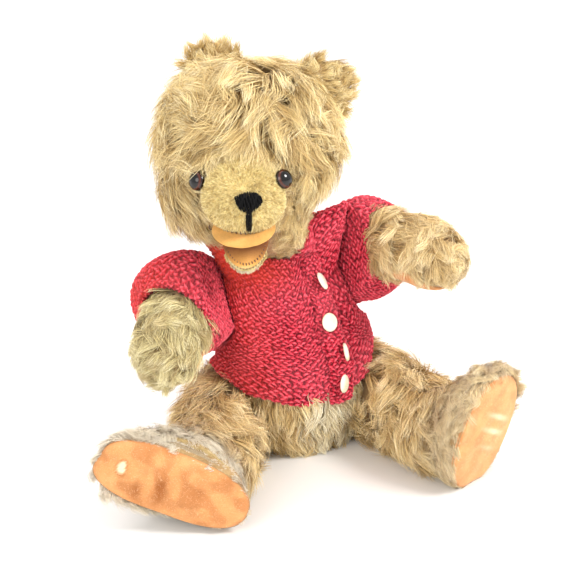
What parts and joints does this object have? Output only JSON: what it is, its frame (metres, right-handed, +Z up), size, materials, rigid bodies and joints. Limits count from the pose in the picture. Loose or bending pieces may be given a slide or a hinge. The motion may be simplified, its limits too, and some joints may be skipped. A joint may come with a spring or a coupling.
{
  "type": "jointed teddy bear",
  "caption": "Seated disc-jointed mohair teddy bear with open felt mouth, turning head, arms and legs, and a hand-knitted buttoned cardigan.",
  "frame": {"origin": "on the ground plane at the middle of the flat seat of the torso", "axes": "+Z up, the bear faces -Y, its left side is +X"},
  "size_m": [0.2432, 0.1704, 0.26],
  "materials": {
    "mohair": "long-pile plush",
    "short_plush": "short-pile plush",
    "pad_felt": "wool felt",
    "mouth_felt": "wool felt",
    "knit": "hand-knitted wool",
    "stuffing": "wood wool",
    "card": "fibre board",
    "steel": "wire",
    "button": "gloss",
    "thread": "embroidery thread",
    "eye_glass": "polished"
  },
  "bodies": {
    "torso": {"torso_skin": "mohair", "torso_stuffing": "stuffing", "growler_case": "card", "neck_body_disc": "card", "neck_washer": "steel", "neck_cotter_pin": "steel", "cardigan_body": "knit", "button_band": "knit", "button_1": "button", "button_2": "button", "button_3": "button", "button_4": "button", "shoulder_right_body_disc": "card", "shoulder_right_washer": "steel", "shoulder_right_cotter_pin": "steel", "hip_right_body_disc": "card", "hip_right_washer": "steel", "hip_right_cotter_pin": "steel", "shoulder_left_body_disc": "card", "shoulder_left_washer": "steel", "shoulder_left_cotter_pin": "steel", "hip_left_body_disc": "card", "hip_left_washer": "steel", "hip_left_cotter_pin": "steel"},
    "growler_weight": {"growler_weight": "steel"},
    "head": {"head_skin": "mohair", "head_stuffing": "stuffing", "neck_head_disc": "card", "muzzle_cover": "short_plush", "upper_mouth_felt": "mouth_felt", "lower_jaw": "short_plush", "lower_mouth_felt": "mouth_felt", "nose_stitching": "thread", "eye_right": "eye_glass", "eye_left": "eye_glass", "ear_right": "mohair", "ear_left": "mohair"},
    "arm_right": {"arm_skin_right": "mohair", "arm_stuffing_right": "stuffing", "paw_pad_right": "pad_felt", "sleeve_right": "knit", "shoulder_right_arm_disc": "card"},
    "leg_right": {"leg_skin_right": "mohair", "leg_stuffing_right": "stuffing", "foot_pad_right": "pad_felt", "insole_card_right": "card", "hip_right_leg_disc": "card"},
    "arm_left": {"arm_skin_left": "mohair", "arm_stuffing_left": "stuffing", "paw_pad_left": "pad_felt", "sleeve_left": "knit", "shoulder_left_arm_disc": "card"},
    "leg_left": {"leg_skin_left": "mohair", "leg_stuffing_left": "stuffing", "foot_pad_left": "pad_felt", "insole_card_left": "card", "hip_left_leg_disc": "card"}
  },
  "joints": [
    {"name": "neck_turn", "type": "hinge", "parent": "torso", "child": "head", "pos_m": [-0.00832, 0.00448, 0.128], "axis": [0, 0, 1], "range_deg": [-18, 28]},
    {"name": "growler_slide", "type": "slide", "parent": "torso", "child": "growler_weight", "axis": [0, 1, 0], "range_m": [-0.006, 0.006]},
    {"name": "shoulder_right_turn", "type": "hinge", "parent": "torso", "child": "arm_right", "pos_m": [-0.039, 0.004, 0.105], "axis": [-0.8517, 0.3971, -0.342], "range_deg": [-15, 25]},
    {"name": "shoulder_left_turn", "type": "hinge", "parent": "torso", "child": "arm_left", "pos_m": [0.0215, 0.003, 0.11], "axis": [-0.9519, -0.273, 0.1392], "range_deg": [-25, 35]},
    {"name": "hip_right_turn", "type": "hinge", "parent": "torso", "child": "leg_right", "pos_m": [-0.028, -0.002, 0.031], "axis": [0.883, -0.3214, 0.342], "range_deg": [-3, 85]},
    {"name": "hip_left_turn", "type": "hinge", "parent": "torso", "child": "leg_left", "pos_m": [0.025, -0.004, 0.031], "axis": [0.9305, 0.1308, -0.342], "range_deg": [-5, 85]}
  ]
}
